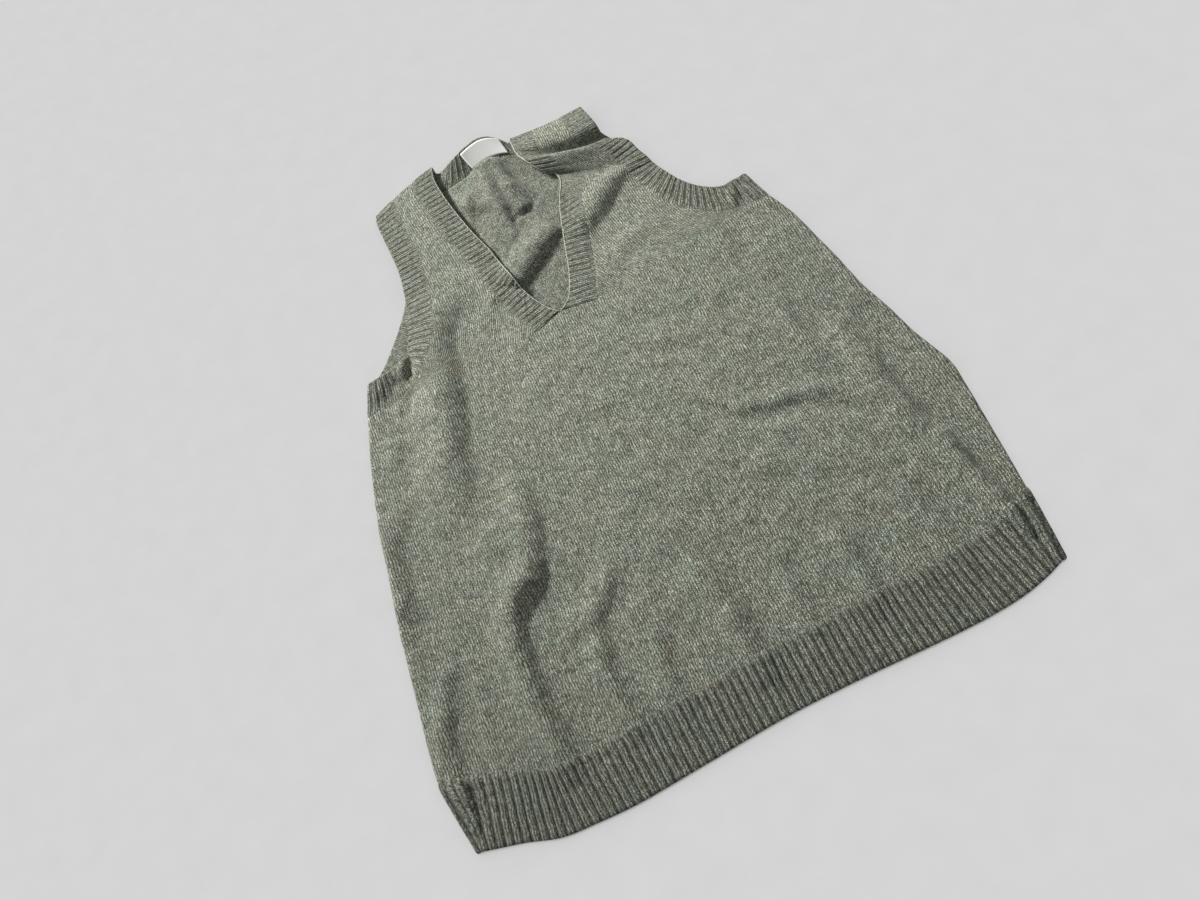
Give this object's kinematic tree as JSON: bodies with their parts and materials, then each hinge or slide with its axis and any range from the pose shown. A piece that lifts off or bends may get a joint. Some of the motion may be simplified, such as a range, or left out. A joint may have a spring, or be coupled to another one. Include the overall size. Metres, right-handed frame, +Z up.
{
  "type": "knitted sweater vest",
  "caption": "Sleeveless V-neck knitted vest laid flat, with ribbed neckband, armhole bands and hem, and one shoulder pushed into a pleat.",
  "frame": {"origin": "bottom centre of the vest's bounding box, on the surface it lies on", "axes": "+X to the right as one looks down on the front with the neck up, +Y from the hem towards the neck, +Z up from the surface"},
  "size_m": [0.5042, 0.6366, 0.0157],
  "materials": {
    "marl_knit": "soft heathered wool knit, grey olive green with pale flecks, matt",
    "marl_rib": "the same wool in two by one rib, matt, darker in its valleys",
    "woven_label": "white woven tape with a slight satin sheen, blank"
  },
  "bodies": {
    "root": {"front_panel": "marl_knit", "back_panel": "marl_knit", "front_hem_rib": "marl_rib", "back_hem_rib": "marl_rib", "neckband": "marl_rib", "left_armhole_band": "marl_rib", "right_armhole_band": "marl_rib", "neck_label": "woven_label"}
  },
  "joints": []
}
